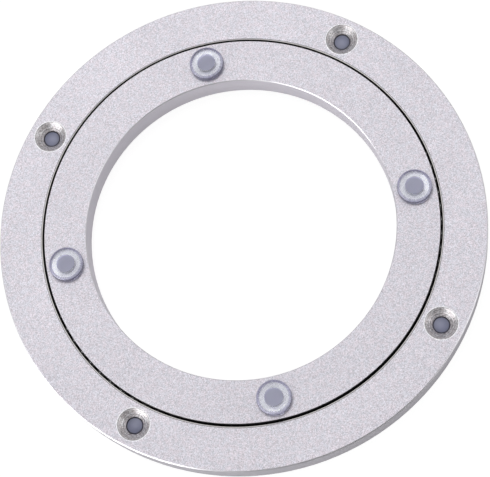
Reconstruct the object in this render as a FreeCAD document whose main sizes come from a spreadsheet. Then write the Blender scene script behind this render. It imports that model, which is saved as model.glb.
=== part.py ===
"""Aluminium lazy susan turntable bearing: two rings, one row of balls between them, and eight push-in pads.

The outer ring is the fixed one. It stands on four clear pads, and its four holes are countersunk from above.
The inner ring turns inside it on a full row of steel balls. It carries four clear pads for a tray or a glass
plate, and its four holes are countersunk from below. The balls go in through a radial bore in the outer ring,
which a dog-point set screw closes. Row frame: +Z up along the turning axis, origin on the surface that the
lower pads stand on. Lengths are in millimetres and angles in degrees.
"""

import FreeCAD, Part  # noqa: E401  this order matters
import math
import os

import Sketcher

DIMENSIONS = {
    # rings
    "outer_radius": 70.0,  # outside of the outer ring
    "bore_radius": 44.5,  # open middle of the inner ring
    "ring_height": 8.0,  # each ring alone
    "ring_offset": 0.5,  # how much higher the inner ring sits
    "slot_width": 0.55,  # free gap between the rings, measured radially
    "rim_chamfer": 0.3,  # outer edges of the outer ring
    "bore_chamfer": 0.2,  # edges of the open middle
    "outer_slot_chamfer": 0.3,  # the outer ring's edges along the gap, measured across the face
    "outer_slot_drop": 0.11,  # the same edges, measured down the gap
    "inner_slot_chamfer": 0.12,  # the inner ring's edges along the gap
    # ball race
    "race_radius": 57.1,  # circle through the balls' centres
    "ball_radius": 2.0,
    "ball_count": 88,
    "race_clearance": 0.05,  # between a ball and the groove round it
    # screw holes, the same in both rings
    "outer_hole_circle": 63.5,  # radius of the circle through the outer ring's holes
    "inner_hole_circle": 50.75,
    "hole_count": 4,
    "hole_radius": 2.5,
    "countersink_radius": 4.55,
    "countersink_depth": 2.05,
    "outer_hole_turn": 45.0,  # angle of the first hole from +X
    "inner_hole_turn": -6.0,
    # push-in pads
    "pad_radius": 5.0,
    "pad_height": 2.0,
    "pad_edge_round": 0.9,
    "stem_length": 5.8,
    "stem_tip_chamfer": 0.45,
    # ball filling bore and its set screw
    "filler_turn": 45.0,  # angle of the bore from the first screw hole
    "filler_pilot_radius": 2.1,
    "filler_step": 61.0,  # distance from the turning axis to the step in the bore
    "filler_mouth_chamfer": 0.4,
    "plug_radius": 2.5,
    "plug_point_radius": 2.0,
    "plug_tip": 59.35,  # distance from the turning axis to the screw's inner end
    "plug_shoulder": 61.2,  # where the point ends and the thread starts
    "plug_head": 69.4,  # distance from the turning axis to the screw's outer end
    "plug_chamfer": 0.35,
    "socket_radius": 1.44,  # corner radius of the 2.5 mm hexagon socket
    "socket_depth": 2.6,
}
BALLS_PER_GROUP = 4
GROOVE_REACH = 1.0  # how far a cutting profile runs past the face it opens


class Size:
    """A length that carries its value and the spreadsheet expression that gives it."""

    def __init__(self, value, text):
        self.value = float(value)
        self.text = text

    def joined(self, sign, other):
        other = other if isinstance(other, Size) else Size(other, repr(float(other)))
        value = self.value + other.value if sign == "+" else self.value - other.value
        return Size(value, f"({self.text} {sign} {other.text})")

    def __add__(self, other):
        return self.joined("+", other)

    def __sub__(self, other):
        return self.joined("-", other)

    def __mul__(self, factor):
        return Size(self.value * factor, f"({self.text} * {factor!r})")


ZERO = Size(0.0, "")


def make_sheet(doc):
    """The driving dimensions, one aliased cell each."""
    sheet = doc.addObject("Spreadsheet::Sheet", "Dimensions")
    for row, (alias, value) in enumerate(DIMENSIONS.items(), 1):
        sheet.set(f"A{row}", alias)
        sheet.set(f"B{row}", str(value))
        sheet.setAlias(f"B{row}", alias)
    doc.recompute()
    return sheet


def cell(alias):
    return Size(DIMENSIONS[alias], f"Dimensions.{alias}")


def origin_feature(body, role):
    return next(f for f in body.Origin.OriginFeatures if f.Role == role)


def make_sketch(body, name, role, lift=ZERO, turn=ZERO):
    """An empty sketch on one of the body's origin planes, raised by lift and turned about its normal."""
    sketch = body.newObject("Sketcher::SketchObject", name)
    sketch.AttachmentSupport = (origin_feature(body, role), [""])
    sketch.MapMode = "FlatFace"
    if lift is not ZERO:
        sketch.setExpression("AttachmentOffset.Base.z", lift.text)
    if turn is not ZERO:
        sketch.setExpression("AttachmentOffset.Rotation.Angle", f"{turn.text} * 1deg")
    return sketch


def bind(sketch, kind, geometry, point, size, name):
    """Fixes one coordinate of a point to a size from the sheet."""
    if size is ZERO:
        axis = -2 if kind == "DistanceX" else -1
        sketch.addConstraint(Sketcher.Constraint("PointOnObject", geometry, point, axis))
        return
    index = sketch.addConstraint(Sketcher.Constraint(kind, -1, 1, geometry, point, size.value))
    sketch.renameConstraint(index, name)
    sketch.setExpression(f"Constraints.{name}", size.text)


def add_arc(sketch, start, end, centre, radius, turn):
    """An arc from start to end about centre. turn is 1 for anticlockwise and -1 for clockwise."""
    angles = [math.atan2(p[1] - centre[1].value, p[0] - centre[0].value) for p in (start, end)]
    if turn < 0:
        angles.reverse()
    circle = Part.Circle(
        FreeCAD.Vector(centre[0].value, centre[1].value, 0), FreeCAD.Vector(0, 0, 1), radius.value
    )
    while angles[1] < angles[0]:
        angles[1] += 2 * math.pi
    index = sketch.addGeometry(Part.ArcOfCircle(circle, *angles), False)
    bind(sketch, "DistanceX", index, 3, centre[0], f"centre_x_{index}")
    bind(sketch, "DistanceY", index, 3, centre[1], f"centre_y_{index}")
    rule = sketch.addConstraint(Sketcher.Constraint("Radius", index, radius.value))
    sketch.renameConstraint(rule, f"radius_{index}")
    sketch.setExpression(f"Constraints.radius_{index}", radius.text)
    return index


def add_profile(sketch, corners, arcs=None):
    """A closed outline of (x, y) corners. Where a corner ends an arc, one of the two is a plain number,
    a first guess that the arc settles. arcs maps the number of the side that starts at a corner to
    (centre, radius, turn)."""
    arcs = arcs or {}
    values = [tuple(c.value if isinstance(c, Size) else float(c) for c in corner) for corner in corners]
    sides = []
    for number, start in enumerate(values):
        end = values[(number + 1) % len(values)]
        if number in arcs:
            centre, radius, turn = arcs[number]
            index = add_arc(sketch, start, end, centre, radius, turn)
            sides.append((index, 1, 2) if turn > 0 else (index, 2, 1))
        else:
            line = Part.LineSegment(FreeCAD.Vector(*start, 0), FreeCAD.Vector(*end, 0))
            sides.append((sketch.addGeometry(line, False), 1, 2))
    for number, (index, _, last) in enumerate(sides):
        following, first, _ = sides[(number + 1) % len(sides)]
        sketch.addConstraint(Sketcher.Constraint("Coincident", index, last, following, first))
    for number, (x, y) in enumerate(corners):
        index, first, _ = sides[number]
        if isinstance(x, Size):
            bind(sketch, "DistanceX", index, first, x, f"x_{number}")
        if isinstance(y, Size):
            bind(sketch, "DistanceY", index, first, y, f"y_{number}")


def revolve(body, kind, name, sketch, axis):
    """A Revolution or a Groove right round one of the sketch's axes."""
    feature = body.newObject(f"PartDesign::{kind}", name)
    feature.Profile = sketch
    feature.ReferenceAxis = (sketch, [axis])
    feature.Angle = 360
    sketch.Visibility = False
    body.Tip = feature
    body.Document.recompute()
    return feature


def place(thing, radius=ZERO, angle="0deg", height=ZERO, turn=None):
    """Binds a sub-part's placement to a point on a circle round the turning axis, and its turn about +Z."""
    if radius is not ZERO:
        thing.setExpression("Placement.Base.x", f"{radius.text} * cos({angle})")
        thing.setExpression("Placement.Base.y", f"{radius.text} * sin({angle})")
    if height is not ZERO:
        thing.setExpression("Placement.Base.z", height.text)
    if turn is not None:
        thing.setExpression("Placement.Rotation.Angle", turn)


def screw_holes(body, circle_radius, top_countersink):
    """Through holes on a circle, countersunk at the ring's top or bottom face."""
    height, radius = cell("ring_height"), cell("hole_radius")
    wide, depth = cell("countersink_radius"), cell("countersink_depth")
    axis_x = circle_radius
    sketch = make_sketch(body, "ScrewHoleProfile", "XZ_Plane")
    if top_countersink:
        corners = [
            (axis_x, ZERO),
            (axis_x, height),
            (axis_x + wide, height),
            (axis_x + radius, height - depth),
            (axis_x + radius, ZERO),
        ]
    else:
        corners = [
            (axis_x, ZERO),
            (axis_x, height),
            (axis_x + radius, height),
            (axis_x + radius, depth),
            (axis_x + wide, ZERO),
        ]
    add_profile(sketch, corners)
    line = Part.LineSegment(
        FreeCAD.Vector(axis_x.value, 0, 0), FreeCAD.Vector(axis_x.value, height.value, 0)
    )
    axis = sketch.addGeometry(line, True)
    bind(sketch, "DistanceX", axis, 1, axis_x, "axis_x")
    bind(sketch, "DistanceY", axis, 2, height, "axis_top")
    sketch.addConstraint(Sketcher.Constraint("PointOnObject", axis, 1, -1))
    sketch.addConstraint(Sketcher.Constraint("Vertical", axis))
    hole = revolve(body, "Groove", "ScrewHole", sketch, "Axis0")
    pattern = body.newObject("PartDesign::PolarPattern", "ScrewHoles")
    pattern.Originals = [hole]
    pattern.Axis = (origin_feature(body, "Z_Axis"), [""])
    pattern.Angle = 360
    pattern.setExpression("Occurrences", cell("hole_count").text)
    body.Tip = pattern
    body.Document.recompute()


def groove_half_chord(land_radius):
    """Half the height of the race groove where it meets the ring's plain wall."""
    groove = DIMENSIONS["ball_radius"] + DIMENSIONS["race_clearance"]
    return math.sqrt(groove**2 - (land_radius.value - DIMENSIONS["race_radius"]) ** 2)


def outer_ring(doc):
    """The fixed ring: plain outer rim, race groove facing inwards, holes countersunk from above."""
    body = doc.addObject("PartDesign::Body", "OuterRing")
    body.Label = "outer_ring"
    rim, height = cell("outer_radius"), cell("ring_height")
    land = cell("race_radius") + cell("slot_width") * 0.5
    edge, slot_edge, slot_drop = cell("rim_chamfer"), cell("outer_slot_chamfer"), cell("outer_slot_drop")
    race_z = height * 0.5 + cell("ring_offset") * 0.5
    half = groove_half_chord(land)
    sketch = make_sketch(body, "RingProfile", "XZ_Plane")
    corners = [
        (land + slot_edge, ZERO),
        (land, slot_drop),
        (land, race_z.value - half),
        (land, race_z.value + half),
        (land, height - slot_drop),
        (land + slot_edge, height),
        (rim - edge, height),
        (rim, height - edge),
        (rim, edge),
        (rim - edge, ZERO),
    ]
    race = ((cell("race_radius"), race_z), cell("ball_radius") + cell("race_clearance"), 1)
    add_profile(sketch, corners, {2: race})
    revolve(body, "Revolution", "RingBlank", sketch, "V_Axis")
    screw_holes(body, cell("outer_hole_circle"), top_countersink=True)
    filler_bore(body, race_z)
    place(body, height=cell("pad_height"), turn=cell("outer_hole_turn").text)
    return body


def filler_bore(body, race_z):
    """The stepped radial bore that the balls go in through, from the race to the rim."""
    pilot, tapped = cell("filler_pilot_radius"), cell("plug_radius")
    step, mouth = cell("filler_step"), cell("filler_mouth_chamfer")
    rim = cell("outer_radius")
    sketch = make_sketch(body, "FillerProfile", "XY_Plane", race_z, cell("filler_turn"))
    corners = [
        (cell("race_radius"), ZERO),
        (cell("race_radius"), pilot),
        (step, pilot),
        (step, tapped),
        (rim - mouth, tapped),
        (rim, tapped + mouth),
        (rim + GROOVE_REACH, tapped + mouth),
        (rim + GROOVE_REACH, ZERO),
    ]
    add_profile(sketch, corners)
    revolve(body, "Groove", "FillerBore", sketch, "H_Axis")


def inner_ring(doc):
    """The turning ring: open middle, race groove facing outwards, holes countersunk from below."""
    body = doc.addObject("PartDesign::Body", "InnerRing")
    body.Label = "inner_ring"
    bore, height = cell("bore_radius"), cell("ring_height")
    land = cell("race_radius") - cell("slot_width") * 0.5
    edge, slot_edge = cell("bore_chamfer"), cell("inner_slot_chamfer")
    race_z = height * 0.5 - cell("ring_offset") * 0.5
    half = groove_half_chord(land)
    sketch = make_sketch(body, "RingProfile", "XZ_Plane")
    corners = [
        (bore + edge, ZERO),
        (bore, edge),
        (bore, height - edge),
        (bore + edge, height),
        (land - slot_edge, height),
        (land, height - slot_edge),
        (land, race_z.value + half),
        (land, race_z.value - half),
        (land, slot_edge),
        (land - slot_edge, ZERO),
    ]
    race = ((cell("race_radius"), race_z), cell("ball_radius") + cell("race_clearance"), 1)
    add_profile(sketch, corners, {6: race})
    revolve(body, "Revolution", "RingBlank", sketch, "V_Axis")
    screw_holes(body, cell("inner_hole_circle"), top_countersink=False)
    lift = cell("pad_height") + cell("ring_offset")
    place(body, height=lift, turn=cell("inner_hole_turn").text)
    return body


def filler_plug(doc):
    """Dog-point set screw with a hexagon socket, lying along the filler bore."""
    body = doc.addObject("PartDesign::Body", "FillerPlug")
    body.Label = "filler_plug"
    tip, shoulder, head = cell("plug_tip"), cell("plug_shoulder"), cell("plug_head")
    thick, point, edge = cell("plug_radius"), cell("plug_point_radius"), cell("plug_chamfer")
    sketch = make_sketch(body, "ScrewProfile", "XY_Plane")
    corners = [
        (tip, ZERO),
        (tip, point - edge),
        (tip + edge, point),
        (shoulder, point),
        (shoulder + edge, thick),
        (head - edge, thick),
        (head, thick - edge),
        (head, ZERO),
    ]
    add_profile(sketch, corners)
    revolve(body, "Revolution", "ScrewBlank", sketch, "H_Axis")
    before = body.Shape.Volume
    hexagon = make_sketch(body, "SocketProfile", "YZ_Plane", head)
    radius = cell("socket_radius")
    turns = [math.radians(60 * k) for k in range(6)]
    add_profile(hexagon, [(radius * math.cos(a), radius * math.sin(a)) for a in turns[::-1]])
    socket = body.newObject("PartDesign::Pocket", "HexagonSocket")
    socket.Profile = hexagon
    socket.setExpression("Length", cell("socket_depth").text)
    body.Tip = socket
    doc.recompute()
    if body.Shape.Volume >= before:
        raise RuntimeError("the socket cuts nothing")
    race_height = cell("pad_height") + cell("ring_height") * 0.5 + cell("ring_offset") * 0.5
    angle = cell("outer_hole_turn") + cell("filler_turn")
    place(body, height=race_height, turn=angle.text)
    return body


def pad(doc, label):
    """A push-in pad, stem end at the local origin and head upwards."""
    body = doc.addObject("PartDesign::Body", label.title().replace("_", ""))
    body.Label = label
    stem, wide, high = cell("hole_radius"), cell("pad_radius"), cell("pad_height")
    seat, tip, round_off = cell("stem_length"), cell("stem_tip_chamfer"), cell("pad_edge_round")
    top = seat + high
    sketch = make_sketch(body, "PadProfile", "XZ_Plane")
    corners = [
        (ZERO, ZERO),
        (ZERO, top),
        (wide - round_off, top.value),
        (wide.value, top - round_off),
        (wide, seat),
        (stem, seat),
        (stem, tip),
        (stem - tip, ZERO),
    ]
    crown = ((wide - round_off, top - round_off), round_off, -1)
    add_profile(sketch, corners, {2: crown})
    revolve(body, "Revolution", "PadTurned", sketch, "V_Axis")
    return body


def top_pad(doc, number):
    """A pad in the inner ring, head up, for a tray to rest on."""
    body = pad(doc, f"top_pad_{number + 1}")
    face = cell("pad_height") + cell("ring_offset") + cell("ring_height")
    angle = f"{cell('inner_hole_turn').text} * 1deg + {number} * 360deg / {cell('hole_count').text}"
    place(body, cell("inner_hole_circle"), angle, face - cell("stem_length"))
    return body


def bottom_pad(doc, number):
    """A pad in the outer ring, head down, for the turntable to stand on."""
    body = pad(doc, f"bottom_pad_{number + 1}")
    body.Placement = FreeCAD.Placement(
        FreeCAD.Vector(), FreeCAD.Rotation(FreeCAD.Vector(1, 0, 0), 180)
    )
    angle = f"{cell('outer_hole_turn').text} * 1deg + {number} * 360deg / {cell('hole_count').text}"
    place(
        body, cell("outer_hole_circle"), angle, cell("pad_height") + cell("stem_length")
    )
    return body


def ball_group(doc, number):
    """Neighbouring balls of the row, as separate solids in one sub-part."""
    height = cell("pad_height") + cell("ring_height") * 0.5 + cell("ring_offset") * 0.5
    balls = []
    for ball in range(number * BALLS_PER_GROUP, (number + 1) * BALLS_PER_GROUP):
        sphere = doc.addObject("Part::Sphere", f"Ball{ball + 1:02d}")
        sphere.setExpression("Radius", cell("ball_radius").text)
        place(
            sphere,
            cell("race_radius"),
            f"{ball} * 360deg / {cell('ball_count').text}",
            height,
        )
        balls.append(sphere)
    group = doc.addObject("Part::Compound", f"BallGroup{number + 1:02d}")
    group.Label = f"balls_{number + 1:02d}"
    group.Links = balls
    return group


def check(doc, subparts):
    """Stops the build if any object failed or any sub-part isn't one or more valid closed solids."""
    failed = [o.Name for o in doc.Objects if {"Invalid", "Error"} & set(o.State)]
    if failed:
        raise RuntimeError(f"failed objects: {failed}")
    for thing in subparts:
        shape = thing.Shape
        if shape.isNull() or not shape.isValid() or not shape.Solids:
            raise RuntimeError(f"{thing.Label} has no valid solid")
        if not all(solid.isClosed() for solid in shape.Solids):
            raise RuntimeError(f"{thing.Label} has an open solid")


def export(subparts):
    os.makedirs("parts", exist_ok=True)
    for thing in subparts:
        thing.Shape.exportStep(os.path.join("parts", f"{thing.Label}.step"))
        box = thing.Shape.BoundBox
        print(
            f"{thing.Label}: {len(thing.Shape.Solids)} solid(s), {thing.Shape.Volume:.1f} mm3,"
            f" z {box.ZMin:.2f} to {box.ZMax:.2f}"
        )


def main():
    doc = FreeCAD.newDocument("LazySusanTurntable")
    make_sheet(doc)
    holes = DIMENSIONS["hole_count"]
    subparts = [outer_ring(doc), inner_ring(doc), filler_plug(doc)]
    subparts += [top_pad(doc, number) for number in range(holes)]
    subparts += [bottom_pad(doc, number) for number in range(holes)]
    groups = DIMENSIONS["ball_count"] // BALLS_PER_GROUP
    subparts += [ball_group(doc, number) for number in range(groups)]
    doc.recompute()
    check(doc, subparts)
    export(subparts)


main()
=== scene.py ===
"""Looks, light and camera for the lazy susan turntable. Lengths are in metres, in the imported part's frame."""

import math
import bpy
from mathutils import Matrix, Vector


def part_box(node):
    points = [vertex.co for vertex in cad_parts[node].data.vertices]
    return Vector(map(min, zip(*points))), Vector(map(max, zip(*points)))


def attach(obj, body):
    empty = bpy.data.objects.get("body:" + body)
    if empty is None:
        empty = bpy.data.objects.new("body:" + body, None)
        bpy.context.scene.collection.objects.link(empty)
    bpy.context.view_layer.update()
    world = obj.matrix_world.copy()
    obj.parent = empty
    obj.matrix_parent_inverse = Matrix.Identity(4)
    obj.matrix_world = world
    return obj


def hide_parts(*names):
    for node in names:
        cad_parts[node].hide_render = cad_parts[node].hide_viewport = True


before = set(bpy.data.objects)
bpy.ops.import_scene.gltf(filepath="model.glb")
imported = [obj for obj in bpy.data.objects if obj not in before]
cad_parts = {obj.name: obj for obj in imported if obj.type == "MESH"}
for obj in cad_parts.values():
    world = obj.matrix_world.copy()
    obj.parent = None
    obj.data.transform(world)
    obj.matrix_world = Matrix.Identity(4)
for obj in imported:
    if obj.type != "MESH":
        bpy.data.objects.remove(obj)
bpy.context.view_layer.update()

from types import SimpleNamespace

import bmesh
import bpy
from mathutils import Matrix, Quaternion, Vector

MM = 0.001

# ---------------------------------------------------------------------- camera

VIEW_AZIMUTH = 5.789  # degrees, from -Y towards +X
VIEW_ELEVATION = 72.143
VIEW_ROLL = 23.816  # the camera's up leans this far to its right
VIEW_DISTANCE = 503.0 * MM
VIEW_TARGET = Vector((0.370, -3.720, 10.0)) * MM
LENS_MM = 130.12
SENSOR_MM = 36.0
NEAREST_SEEN = 10.0 * MM


def make_camera():
    """The camera at the product shot's angle."""
    data = bpy.data.cameras.new("camera")
    data.lens = LENS_MM
    data.sensor_width = SENSOR_MM
    data.clip_start = NEAREST_SEEN
    camera = bpy.data.objects.new("camera", data)
    bpy.context.scene.collection.objects.link(camera)
    azimuth, elevation = math.radians(VIEW_AZIMUTH), math.radians(VIEW_ELEVATION)
    back = Vector(
        (
            math.sin(azimuth) * math.cos(elevation),
            -math.cos(azimuth) * math.cos(elevation),
            math.sin(elevation),
        )
    )
    roll = Quaternion((0, 0, 1), -math.radians(VIEW_ROLL))
    camera.rotation_mode = "QUATERNION"
    camera.location = VIEW_TARGET + back * VIEW_DISTANCE
    camera.rotation_quaternion = (-back).to_track_quat("-Z", "Y") @ roll
    bpy.context.scene.camera = camera


# ------------------------------------------------------------------ part sizes

HOLE_CIRCLE = {"outer_ring": 63.5 * MM, "inner_ring": 50.75 * MM}
HOLE_TURN = {"outer_ring": 45.0, "inner_ring": -6.0}  # degrees from +X to the first hole
HOLE_COUNT = 4
SINK_RADIUS = 4.55 * MM
PAD_RADIUS = 5.0 * MM
PAD_HEIGHT = 2.0 * MM
PAD_EDGE_ROUND = 0.9 * MM
PAD_LIP_ROUND = 0.12 * MM  # under the head
STEM_LENGTH = 5.8 * MM
STEM_RADIUS = 2.5 * MM
STEM_TIP = 0.42 * MM  # how far the stem's end is eased
STEM_TIP_EASE = 0.3  # share of that at the middle of the eased edge
FIT_GAP = 0.02 * MM  # keeps a pad's skin off the metal, so that the two never coincide
RACE_RADIUS = 57.1 * MM  # the middle of the gap between the rings
RACE_HEIGHT = 6.25 * MM  # the middle of the balls

# ---------------------------------------------------------------- node helpers


class Graph:
    """Short ways to add and join shader nodes."""

    def __init__(self, tree):
        self.tree = tree
        tree.nodes.clear()

    def node(self, kind, inputs=None, **settings):
        made = self.tree.nodes.new(kind)
        for name, value in settings.items():
            setattr(made, name, value)
        for name, value in (inputs or {}).items():
            self.set(made, name, value)
        return made

    def set(self, node, name, value):
        if isinstance(value, bpy.types.NodeSocket):
            self.tree.links.new(value, node.inputs[name])
        else:
            node.inputs[name].default_value = value

    def math(self, operation, *values):
        made = self.node("ShaderNodeMath", dict(enumerate(values)), operation=operation)
        return made.outputs[0]

    def vector(self, operation, *values, output="Vector"):
        made = self.node("ShaderNodeVectorMath", dict(enumerate(values)), operation=operation)
        return made.outputs[output]

    def place(self):
        """The surface point in the piece's own coordinates."""
        return self.node("ShaderNodeTexCoord").outputs["Object"]

    def height(self, vector):
        return self.node("ShaderNodeSeparateXYZ", {"Vector": vector}).outputs["Z"]

    def across(self, vector):
        """A vector's length with its height left out."""
        return self.vector("LENGTH", self.vector("MULTIPLY", vector, (1, 1, 0)), output="Value")

    def apart(self, value, target):
        """How far value is from target, either way."""
        return self.math("ABSOLUTE", self.math("SUBTRACT", value, target))

    def around_one(self, noise, contrast):
        """A noise, which swings about 0.5, as a factor that swings about 1."""
        return self.math("MULTIPLY_ADD", noise, contrast, 1.0 - contrast / 2)

    def blend(self, amount, low, high):
        """low where amount is 0 and high where it is 1, as numbers."""
        made = self.node("ShaderNodeMix", {"Factor": amount, "A": low, "B": high})
        return made.outputs[0]

    def blend_colour(self, amount, low, high):
        """low where amount is 0 and high where it is 1, as colours."""
        made = self.node("ShaderNodeMix", data_type="RGBA")
        self.set(made, 0, amount)
        for number, value in ((6, low), (7, high)):
            self.set(made, number, value if isinstance(value, bpy.types.NodeSocket) else rgba(value))
        return made.outputs[2]

    def ramp(self, value, low, high, start=0.0, end=1.0):
        """value from low to high mapped to start to end, and held outside."""
        made = self.node(
            "ShaderNodeMapRange",
            {"Value": value, "From Min": low, "From Max": high, "To Min": start, "To Max": end},
        )
        return made.outputs[0]

    def within(self, value, near, far, most=1.0):
        """most where value is below near, fading to 0 at far."""
        return self.ramp(value, near, far, most, 0.0)

    def noise(self, place, scale, detail=2.0, roughness=0.5):
        made = self.node(
            "ShaderNodeTexNoise",
            {"Vector": place, "Scale": scale, "Detail": detail, "Roughness": roughness},
        )
        return made.outputs["Fac"]


def rgba(colour):
    return (*colour, 1.0)


def new_material(name):
    material = bpy.data.materials.new(name)
    material.use_nodes = True
    return material, Graph(material.node_tree)


# ------------------------------------------------------------------- aluminium

FACE_COLOUR = (0.690, 0.682, 0.740)
FACE_COLOUR_WARM = (0.720, 0.678, 0.730)
FACE_SHADE = {"outer_ring": 0.975, "inner_ring": 0.940}
# painted shade and painted light: one turned finish, painted darker on the outer ring's wall and lighter on the
# bore's wall
WALL_COLOUR_LIT_AND_SHADED = {"outer_ring": (0.620, 0.604, 0.642), "inner_ring": (0.800, 0.776, 0.825)}
EDGE_COLOUR = (0.830, 0.815, 0.850)
GAP_EDGE_HIGHLIGHT_COLOUR = (0.920, 0.895, 0.860)  # chamfers along the gap, painted near white and warm: a painted highlight band
SEAT_LIGHT_COLOUR = (0.970, 0.970, 1.000)  # round a hole: painted light, brighter than the face, for the bright ring that shows through a clear pad's head
SINK_COLOUR = (0.760, 0.745, 0.765)
SINK_COLOUR_WARM = (0.725, 0.685, 0.695)
# near black: grease and painted shade in the race and the gap, and the thin dark lines
GREASE_SHADE_AND_LINE_COLOUR = (0.060, 0.058, 0.060)

FACE_ROUGHNESS = 0.47  # where the fine grain is lowest
FACE_ROUGHNESS_SWING = 0.16
WALL_ROUGHNESS = 0.72
SINK_ROUGHNESS = 0.40
EDGE_ROUGHNESS = 0.27
GAP_EDGE_ROUGHNESS = 0.25
MARKS_ROUGHNESS_SWING = 0.14

# how much of the normal points up or down, from where each kind of surface begins to where it is certain
CHAMFER_UPRIGHT = (0.30, 0.50)
FACE_UPRIGHT = (0.955, 0.99)

# Noise loses its strength where a height times its scale is a whole number, so the grain's scales keep clear
# of that on the rings' top faces, at 10 and 10.5 mm.
GRAIN_SCALE, GRAIN_CONTRAST = 3365.0, 1.45
FINE_SCALE, FINE_CONTRAST = 5170.0, 0.40
CLOUD_SCALE, CLOUD_CONTRAST = 45.0, 0.12
SPARKLE_SCALE, SPARKLE_SHARE = 1555.0, 0.10
CHATTER_SCALE = 2165.0
HUE_SCALE = 835.0
WALL_LINE_SCALES = (60.0, 60.0, 9000.0)
SINK_RING_SCALES = (3400.0, 500.0, 1.0)  # away from the hole's axis, and along it

# brightness of the marks: gain and base
WALL_MARKS = (0.16, 0.90)
SINK_MARKS = (1.20, 0.30)
CHATTER_MARKS = (2.30, -0.08)

# relief of the marks, as multiples of the bump's depth
BUMP_STRENGTH = 0.5
BUMP_DEPTH = 0.016 * MM
GRAIN_RELIEF = 0.30
CHATTER_RELIEF = 4.0

# bands, as the distances where each is still full and where it has ended
SINK_BAND = (SINK_RADIUS, SINK_RADIUS + 0.06 * MM)  # from the hole's axis
SEAT_LIGHT_BAND = (4.7 * MM, 4.9 * MM)  # from the hole's axis
LIP_LINE, LIP_LINE_SHARE = (0.04 * MM, 0.12 * MM), 0.45  # from the countersink's lip
GAP_EDGE_BAND = (0.62 * MM, 0.68 * MM)  # from the race's radius, like the two below
GAP_BAND = (0.38 * MM, 0.42 * MM)
RACE_BAND = (2.4 * MM, 2.6 * MM)
RACE_HEIGHT_BAND = (2.15 * MM, 2.25 * MM)  # from the race's height
EDGE_LINE_RADIUS = 57.78 * MM  # a thin dark line on the outer ring's face, just outside its edge along the gap
EDGE_LINE, EDGE_LINE_SHARE = (0.05 * MM, 0.10 * MM), 0.85


def from_nearest_hole(g, place, ring):
    """Distance from the axis of the nearest of a ring's four holes. The four quarters are folded onto one."""
    turned = g.node(
        "ShaderNodeVectorRotate",
        {"Vector": place, "Angle": math.radians(45.0 - HOLE_TURN[ring])},
        rotation_type="Z_AXIS",
    ).outputs[0]
    corner = HOLE_CIRCLE[ring] / math.sqrt(2)
    return g.across(g.vector("SUBTRACT", g.vector("ABSOLUTE", turned), (corner, corner, 0)))


def survey(g, ring):
    """What kind of surface a point of a ring is on, and how far it is from a hole and from the gap."""
    place = g.place()
    upright = g.math("ABSOLUTE", g.height(g.node("ShaderNodeNewGeometry").outputs["True Normal"]))
    flat = g.ramp(upright, *FACE_UPRIGHT)
    from_hole = from_nearest_hole(g, place, ring)
    radius = g.across(place)
    off_race = g.apart(radius, RACE_RADIUS)
    return SimpleNamespace(
        place=place,
        height=g.height(place),
        flat=flat,
        not_flat=g.math("SUBTRACT", 1.0, flat),
        sloped=g.ramp(upright, *CHAMFER_UPRIGHT),
        from_hole=from_hole,
        sunk=g.within(from_hole, *SINK_BAND),
        radius=radius,
        off_race=off_race,
        gap_edge=g.within(off_race, *GAP_EDGE_BAND),
    )


def surface_marks(g, at):
    """The grain of the faces, the turning marks of walls and countersinks, and a drift of hue."""
    lines = g.noise(g.vector("MULTIPLY", at.place, WALL_LINE_SCALES), 1.0, 3.0, 0.6)
    along = g.node("ShaderNodeCombineXYZ", {"X": at.from_hole, "Y": at.height}).outputs[0]
    rings = g.noise(g.vector("MULTIPLY", along, SINK_RING_SCALES), 1.0, 2.0, 0.6)
    return SimpleNamespace(
        grain=g.noise(at.place, GRAIN_SCALE, 2.0, 0.6),
        fine=g.noise(at.place, FINE_SCALE, 2.0, 0.6),
        turned=g.blend(at.sunk, lines, rings),
        chatter=g.noise(at.place, CHATTER_SCALE, 2.0, 0.6),
        hue=g.noise(at.place, HUE_SCALE, 2.0, 0.5),
    )


def blasted_light(g, at, marks, ring):
    """Brightness of the bead-blasted faces."""
    cloud = g.noise(at.place, CLOUD_SCALE, 3.0, 0.55)
    sparkle = g.ramp(g.noise(at.place, SPARKLE_SCALE, 1.0, 0.5), 0.66, 0.78)
    light = g.around_one(marks.grain, GRAIN_CONTRAST)
    light = g.math("MULTIPLY", light, g.around_one(marks.fine, FINE_CONTRAST))
    light = g.math("MULTIPLY", light, g.around_one(cloud, CLOUD_CONTRAST))
    light = g.math("MULTIPLY_ADD", sparkle, SPARKLE_SHARE, light)
    return g.math("MULTIPLY", light, FACE_SHADE[ring])


def turned_light(g, at, marks):
    """Brightness of the turned walls and chamfers, and of the torn metal in the countersinks."""
    gain, base = (g.blend(at.sunk, wall, sink) for wall, sink in zip(WALL_MARKS, SINK_MARKS))
    light = g.math("MULTIPLY_ADD", marks.turned, gain, base)
    torn = g.math("MULTIPLY_ADD", marks.chatter, *CHATTER_MARKS)
    return g.blend(at.sunk, light, g.math("MULTIPLY", light, torn))


def clean_metal(g, at, marks, ring):
    """The colour of each kind of surface before any dirt."""
    face = g.blend_colour(g.ramp(marks.hue, 0.35, 0.65), FACE_COLOUR, FACE_COLOUR_WARM)
    # painted light: the face round each hole is painted brighter
    face = g.blend_colour(g.within(at.from_hole, *SEAT_LIGHT_BAND), face, SEAT_LIGHT_COLOUR)
    # each wall takes its ring's colour: painted shade on the outer wall, painted light on the bore
    wall = g.blend_colour(at.sloped, WALL_COLOUR_LIT_AND_SHADED[ring], EDGE_COLOUR)
    # painted highlight: the chamfers along the gap are painted lighter than the walls
    wall = g.blend_colour(at.gap_edge, wall, GAP_EDGE_HIGHLIGHT_COLOUR)
    sink = g.blend_colour(g.ramp(marks.hue, 0.40, 0.60), SINK_COLOUR, SINK_COLOUR_WARM)
    tint = g.blend_colour(at.flat, wall, face)
    return g.blend_colour(g.math("MULTIPLY", at.sunk, at.not_flat), tint, sink)


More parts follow.
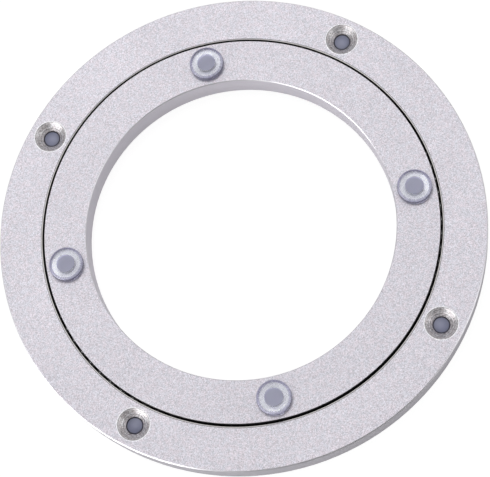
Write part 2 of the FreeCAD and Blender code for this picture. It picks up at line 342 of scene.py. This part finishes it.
def grease_shade_and_lines(g, at, tint):
    """The race and the gap's walls painted near black, partly grease and partly painted shade in the narrow
    gap, and thin dark lines round each countersink's lip and along the gap's edge.
    """
    # thin dark lines round each countersink's lip and along the gap's edge
    lip = g.within(g.apart(at.from_hole, SINK_RADIUS), *LIP_LINE, LIP_LINE_SHARE)
    gap = g.within(at.off_race, *GAP_BAND)
    race = g.within(g.apart(at.height, RACE_HEIGHT), *RACE_HEIGHT_BAND)
    race = g.math("MULTIPLY", g.within(at.off_race, *RACE_BAND), race)
    # painted shade: the gap's walls and the race go near black, over their grease
    inside = g.math("MULTIPLY", g.math("MAXIMUM", gap, race), at.not_flat)
    edge = g.within(g.apart(at.radius, EDGE_LINE_RADIUS), *EDGE_LINE, EDGE_LINE_SHARE)
    for amount in (lip, inside, edge):
        tint = g.blend_colour(amount, tint, GREASE_SHADE_AND_LINE_COLOUR)
    return tint


def ring_roughness(g, at, marks):
    face = g.math("MULTIPLY_ADD", marks.fine, FACE_ROUGHNESS_SWING, FACE_ROUGHNESS)
    edge = g.blend(at.gap_edge, EDGE_ROUGHNESS, GAP_EDGE_ROUGHNESS)
    turned = g.blend(at.sunk, g.blend(at.sloped, WALL_ROUGHNESS, edge), SINK_ROUGHNESS)
    turned = g.math("MULTIPLY_ADD", marks.turned, MARKS_ROUGHNESS_SWING, turned)
    return g.blend(at.flat, turned, face)


def ring_bump(g, at, marks):
    relief = g.blend(at.flat, marks.turned, g.math("MULTIPLY", marks.grain, GRAIN_RELIEF))
    torn = g.math("MULTIPLY", g.math("MULTIPLY", marks.chatter, at.sunk), CHATTER_RELIEF)
    relief = g.math("ADD", relief, torn)
    settings = {"Strength": BUMP_STRENGTH, "Distance": BUMP_DEPTH, "Height": relief}
    return g.node("ShaderNodeBump", settings).outputs[0]


def machined_aluminium(name, ring):
    """Fine bead-blasted faces, and turned walls, chamfers and countersinks, told apart by where they are."""
    material, g = new_material(name)
    at = survey(g, ring)
    marks = surface_marks(g, at)
    light = g.blend(at.flat, turned_light(g, at, marks), blasted_light(g, at, marks, ring))
    grey = g.node("ShaderNodeCombineXYZ", {"X": light, "Y": light, "Z": light}).outputs[0]
    tint = grease_shade_and_lines(g, at, clean_metal(g, at, marks, ring))
    shader = g.node(
        "ShaderNodeBsdfPrincipled",
        {
            "Base Color": g.vector("MULTIPLY", tint, grey),
            "Roughness": ring_roughness(g, at, marks),
            "Normal": ring_bump(g, at, marks),
            "Metallic": 1.0,
        },
    )
    g.node("ShaderNodeOutputMaterial", {"Surface": shader.outputs[0]})
    return material


# ----------------------------------------------------------------------- steel

# dark partly for grease and partly as painted shade: the balls sit in the gap's shade
BALL_COLOUR_GREASED_AND_SHADED = (0.13, 0.13, 0.135)
BALL_ROUGHNESS = (0.08, 0.04)  # swing of the haze, and its base
OXIDE_COLOUR = (0.030, 0.030, 0.033)
OXIDE_COLOUR_WORN = (0.095, 0.092, 0.095)
OXIDE_ROUGHNESS = (0.25, 0.28)  # swing of the mottle, and its base
OXIDE_METALLIC = 0.85


def polished_steel():
    """Hardened bearing balls: smooth, with a faint rolling haze, and dark partly from a film of grease and
    partly as painted shade in the gap.
    """
    material, g = new_material("ball_steel_polished")
    haze = g.noise(g.place(), 900.0)
    rough = g.math("MULTIPLY_ADD", haze, *BALL_ROUGHNESS)
    shader = g.node(
        "ShaderNodeBsdfPrincipled",
        {"Base Color": rgba(BALL_COLOUR_GREASED_AND_SHADED), "Roughness": rough, "Metallic": 1.0},
    )
    g.node("ShaderNodeOutputMaterial", {"Surface": shader.outputs[0]})
    return material


def black_oxide():
    """The dark steel of a small set screw, with a slight oily mottle."""
    material, g = new_material("plug_steel_black_oxide")
    mottle = g.noise(g.place(), 1400.0, 3.0, 0.6)
    colour = g.blend_colour(mottle, OXIDE_COLOUR, OXIDE_COLOUR_WORN)
    rough = g.math("MULTIPLY_ADD", mottle, *OXIDE_ROUGHNESS)
    shader = g.node(
        "ShaderNodeBsdfPrincipled",
        {"Base Color": colour, "Roughness": rough, "Metallic": OXIDE_METALLIC},
    )
    g.node("ShaderNodeOutputMaterial", {"Surface": shader.outputs[0]})
    return material


# ------------------------------------------------------------------------ pads

# the plastic's colour: over the metal, at the moulded edge, on the rim, and over the stem; the last three are
# painted shade: a darker band at the rounded edge, a dark outline at the rim, and a bluish-grey disc over the
# stem for the hole seen through the head
CLEAR_COLOUR = (0.955, 0.965, 1.0)
MOULDED_SHADE_COLOUR = (0.74, 0.72, 0.93)
RIM_SHADE_COLOUR = (0.42, 0.41, 0.56)
OVER_STEM_SHADE_COLOUR = (0.40, 0.405, 0.62)
# the stem's end: in its middle, further out, and along its outline; it darkens outwards to a near-black
# outline, painted shade of the hole round the stem
STEM_END_SHADE_COLOUR = (0.47, 0.49, 0.70)
STEM_END_SHADE_COLOUR_OUTER = (0.34, 0.36, 0.53)
STEM_OUTLINE_SHADE_COLOUR = (0.10, 0.10, 0.14)

CLEARNESS = 0.96
CLEARNESS_MOULDED = 0.75
CLEARNESS_STEM = 0.55
PLASTIC_IOR = 1.55
PLASTIC_ROUGHNESS = (0.04, 0.01)  # swing of the haze, and its base
STEM_END_ROUGHNESS = 0.38

# bands by radius, and the last one by height
MOULDED_BAND = (PAD_RADIUS - PAD_EDGE_ROUND - 0.1 * MM, PAD_RADIUS - PAD_EDGE_ROUND + 0.3 * MM)
RIM_BAND = (PAD_RADIUS - 0.12 * MM, PAD_RADIUS - 0.05 * MM)
STEM_BAND = (STEM_RADIUS + 0.05 * MM, STEM_RADIUS + 0.25 * MM)
STEM_END_BAND = (0.4 * MM, 2.1 * MM)
STEM_OUTLINE_BAND = (2.02 * MM, 2.16 * MM)
STEM_END_HEIGHTS = (0.6 * MM - STEM_LENGTH, 0.8 * MM - STEM_LENGTH)

CROWN_STEPS = 14
LIP_STEPS = 4
TURN_STEPS = 96


def clear_pad_plastic():
    """Soft clear plastic: clearest over the metal, a little cloudy at the moulded edge and in the stem, with
    painted shade in a darker band at the rounded edge, a dark rim and a darker disc over the stem.
    """
    material, g = new_material("clear_pad_plastic")
    place = g.place()
    radius = g.across(place)
    moulded = g.ramp(radius, *MOULDED_BAND)
    stem = g.within(radius, *STEM_BAND)
    at_end = g.within(g.height(place), *STEM_END_HEIGHTS)

    # painted shade: the stem's end darkens outwards to a dark outline, as in the hole round it
    end = g.blend_colour(g.ramp(radius, *STEM_END_BAND), STEM_END_SHADE_COLOUR, STEM_END_SHADE_COLOUR_OUTER)
    end = g.blend_colour(g.ramp(radius, *STEM_OUTLINE_BAND), end, STEM_OUTLINE_SHADE_COLOUR)
    # painted shade: a darker bluish disc over the stem, for the hole seen through the head
    core = g.blend_colour(at_end, OVER_STEM_SHADE_COLOUR, end)
    # painted shade: the rounded edge darker and the rim a dark outline
    colour = g.blend_colour(moulded, CLEAR_COLOUR, MOULDED_SHADE_COLOUR)
    colour = g.blend_colour(g.ramp(radius, *RIM_BAND), colour, RIM_SHADE_COLOUR)
    colour = g.blend_colour(stem, colour, core)

    haze = g.noise(place, 1200.0)
    rough = g.blend(at_end, g.math("MULTIPLY_ADD", haze, *PLASTIC_ROUGHNESS), STEM_END_ROUGHNESS)
    shader = g.node(
        "ShaderNodeBsdfPrincipled",
        {
            "Base Color": colour,
            "Roughness": rough,
            "IOR": PLASTIC_IOR,
            "Transmission Weight": g.blend(
                stem, g.blend(moulded, CLEARNESS, CLEARNESS_MOULDED), CLEARNESS_STEM
            ),
        },
    )
    g.node("ShaderNodeOutputMaterial", {"Surface": shader.outputs[0]})
    return material


def arc(centre, radius, start, end, steps):
    """Points on an arc in the (radius, height) plane, angles in degrees."""
    points = []
    for step in range(steps + 1):
        angle = math.radians(start + (end - start) * step / steps)
        points.append((centre[0] + radius * math.cos(angle), centre[1] + radius * math.sin(angle)))
    return points


def pad_profile():
    """Half of a pad's outline, from the middle of its crown to the middle of its stem's end.
    Heights are from the ring's face that the head sits on."""
    crown, lip, tip, ease = PAD_EDGE_ROUND, PAD_LIP_ROUND, STEM_TIP, STEM_TIP_EASE * STEM_TIP
    wide, high = PAD_RADIUS - FIT_GAP, PAD_HEIGHT
    stem, low = STEM_RADIUS - FIT_GAP, -STEM_LENGTH
    outline = [(0.0, high)]
    outline += arc((wide - crown, high - crown), crown, 90, 0, CROWN_STEPS)
    outline += arc((wide - lip, FIT_GAP + lip), lip, 0, -90, LIP_STEPS)
    outline += arc((stem + lip, FIT_GAP - lip), lip, 90, 180, LIP_STEPS)
    outline += [(stem, low + tip), (stem - ease, low + ease), (stem - tip, low)]
    outline += [(0.0, low)]
    return outline


def lathe(name, outline):
    """A closed turned mesh about +Z."""
    mesh = bmesh.new()
    turn = [2 * math.pi * k / TURN_STEPS for k in range(TURN_STEPS)]
    loops = []
    for radius, height in outline:
        if radius == 0.0:
            loops.append([mesh.verts.new((0, 0, height))])
        else:
            loops.append([mesh.verts.new((radius * math.cos(a), radius * math.sin(a), height)) for a in turn])
    for upper, lower in zip(loops, loops[1:]):
        for k in range(TURN_STEPS):
            corners = [
                upper[k % len(upper)],
                lower[k % len(lower)],
                lower[(k + 1) % len(lower)],
                upper[(k + 1) % len(upper)],
            ]
            mesh.faces.new(dict.fromkeys(corners))  # a corner at a pole counts once
    bmesh.ops.recalc_face_normals(mesh, faces=mesh.faces)
    data = bpy.data.meshes.new(name)
    mesh.to_mesh(data)
    mesh.free()
    data.shade_smooth()
    made = bpy.data.objects.new(name, data)
    bpy.context.scene.collection.objects.link(made)
    return made


def make_pads(material):
    """A clear pad in every hole: head up on the inner ring, head down under the outer one."""
    outline = pad_profile()
    for number in range(HOLE_COUNT):
        for side, ring, body in (("top", "inner_ring", "turntable"), ("bottom", "outer_ring", "base")):
            node = f"{side}_pad_{number + 1}"
            piece = lathe(f"clear_{node}", outline)
            piece.data.materials.append(material)
            angle = math.radians(HOLE_TURN[ring] + 360 / HOLE_COUNT * number)
            low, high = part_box(ring)
            face = high.z if side == "top" else low.z
            spot = Vector((HOLE_CIRCLE[ring] * math.cos(angle), HOLE_CIRCLE[ring] * math.sin(angle), face))
            flip = Matrix.Rotation(math.pi if side == "bottom" else 0.0, 4, "X")
            piece.matrix_world = Matrix.Translation(spot) @ Matrix.Rotation(angle, 4, "Z") @ flip
            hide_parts(node)
            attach(piece, body)


# ----------------------------------------------------------------------- stage

WORLD_TOP = 0.70
WORLD_SIDE = 0.54
WORLD_DARK = 0.15
WORLD_BACKDROP = 1.0  # straight to the camera the tent is as white as the floor
TOP_HEIGHTS = (0.35, 0.70)  # sines of the elevations between which the sides turn into the top
DARK_AZIMUTH = -77.0  # degrees from +X, the side that the camera stands on
OPENING_COSINES = (0.45, 0.95)  # where the opening's dark begins and is full, round the horizon
LENS_ELEVATION = 76.0
LENS_HOLE = 17.0  # how far the dark round the lens reaches, in degrees
LENS_HOLE_FADE = 7.0

# name, azimuth from +X and elevation in degrees, distance, width and height, and radiance
LIGHTS = (
    ("top_softbox", 96.0, 72.0, 0.97, (0.42, 0.42), 2.9),
    ("left_strip", -155.0, 12.0, 0.60, (0.60, 0.20), 3.8),
    ("right_strip", -30.0, 14.0, 0.60, (0.28, 0.12), 2.2),
)

FLOOR_REACH = 3.0
FLOOR_COLOUR = (0.90, 0.90, 0.90)
FLOOR_GLOW = 1.15
FLOOR_GLOW_SHARE = 0.80
RINGS_MIDDLE = 57.5 * MM  # the glow stops beneath the rings, which lie round this radius
RINGS_COVER = (8.0 * MM, 11.0 * MM)  # either side of it: still no glow, and the full glow


def sky_way(azimuth, elevation):
    """Unit vector towards a place in the sky. azimuth is from +X, in degrees."""
    a, e = math.radians(azimuth), math.radians(elevation)
    return Vector((math.cos(a) * math.cos(e), math.sin(a) * math.cos(e), math.sin(e)))


def make_world():
    """A light tent: bright above, dimmer round the sides, and darkest where its opening is."""
    world = bpy.data.worlds.new("light_tent")
    world.use_nodes = True
    bpy.context.scene.world = world
    g = Graph(world.node_tree)
    way = g.node("ShaderNodeTexCoord").outputs["Generated"]
    level = g.vector("NORMALIZE", g.vector("MULTIPLY", way, (1, 1, 0)))
    towards = g.vector("DOT_PRODUCT", level, sky_way(DARK_AZIMUTH, 0.0), output="Value")
    opening = g.math("SMOOTH_MIN", g.ramp(towards, *OPENING_COSINES), 1.0, 0.1)
    side = g.blend(opening, WORLD_SIDE, WORLD_DARK)
    light = g.blend(g.ramp(g.height(way), *TOP_HEIGHTS), side, WORLD_TOP)
    to_lens = g.vector("DOT_PRODUCT", way, sky_way(DARK_AZIMUTH, LENS_ELEVATION), output="Value")
    fade = (math.cos(math.radians(angle)) for angle in (LENS_HOLE + LENS_HOLE_FADE, LENS_HOLE))
    light = g.blend(g.ramp(to_lens, *fade), light, WORLD_DARK)
    seen = g.node("ShaderNodeLightPath").outputs["Is Camera Ray"]
    light = g.blend(seen, light, WORLD_BACKDROP)
    sky = g.node("ShaderNodeBackground", {"Color": rgba((1.0, 1.0, 1.0)), "Strength": light})
    g.node("ShaderNodeOutputWorld", {"Surface": sky.outputs[0]})


def make_area_light(name, azimuth, elevation, distance, size, radiance):
    """A soft rectangular light that faces the part."""
    data = bpy.data.lights.new(name, "AREA")
    data.shape = "RECTANGLE"
    data.size, data.size_y = size
    data.energy = radiance * math.pi * size[0] * size[1]
    light = bpy.data.objects.new(name, data)
    bpy.context.scene.collection.objects.link(light)
    way = sky_way(azimuth, elevation)
    light.location = way * distance
    light.rotation_mode = "QUATERNION"
    light.rotation_quaternion = (-way).to_track_quat("-Z", "Y")


def make_floor():
    """A plain white floor. Straight to the camera it glows, except beneath the rings."""
    mesh = bpy.data.meshes.new("floor")
    corners = [(x * FLOOR_REACH, y * FLOOR_REACH, 0) for x, y in ((-1, -1), (1, -1), (1, 1), (-1, 1))]
    mesh.from_pydata(corners, [], [(0, 1, 2, 3)])
    floor = bpy.data.objects.new("floor", mesh)
    bpy.context.scene.collection.objects.link(floor)
    material, g = new_material("floor_white")
    paper = g.node("ShaderNodeBsdfDiffuse", {"Color": rgba(FLOOR_COLOUR)})
    glow = g.node("ShaderNodeEmission", {"Color": rgba((1, 1, 1)), "Strength": FLOOR_GLOW})
    seen = g.node("ShaderNodeLightPath").outputs["Is Camera Ray"]
    radius = g.vector("LENGTH", g.place(), output="Value")
    uncovered = g.ramp(g.apart(radius, RINGS_MIDDLE), *RINGS_COVER)
    glow_share = g.math("MULTIPLY", g.math("MULTIPLY", seen, uncovered), FLOOR_GLOW_SHARE)
    shader = g.node("ShaderNodeMixShader", {0: glow_share, 1: paper.outputs[0], 2: glow.outputs[0]})
    g.node("ShaderNodeOutputMaterial", {"Surface": shader.outputs[0]})
    mesh.materials.append(material)


def paint(node, material):
    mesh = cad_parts[node].data
    mesh.materials.clear()
    mesh.materials.append(material)


def main():
    make_camera()
    bpy.context.scene.view_settings.view_transform = "Standard"
    for ring in ("outer_ring", "inner_ring"):
        paint(ring, machined_aluminium(f"{ring}_aluminium", ring))
    steel = polished_steel()
    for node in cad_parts:
        if node.startswith("balls_"):
            paint(node, steel)
    paint("filler_plug", black_oxide())
    make_pads(clear_pad_plastic())
    make_world()
    for light in LIGHTS:
        make_area_light(*light)
    make_floor()


main()
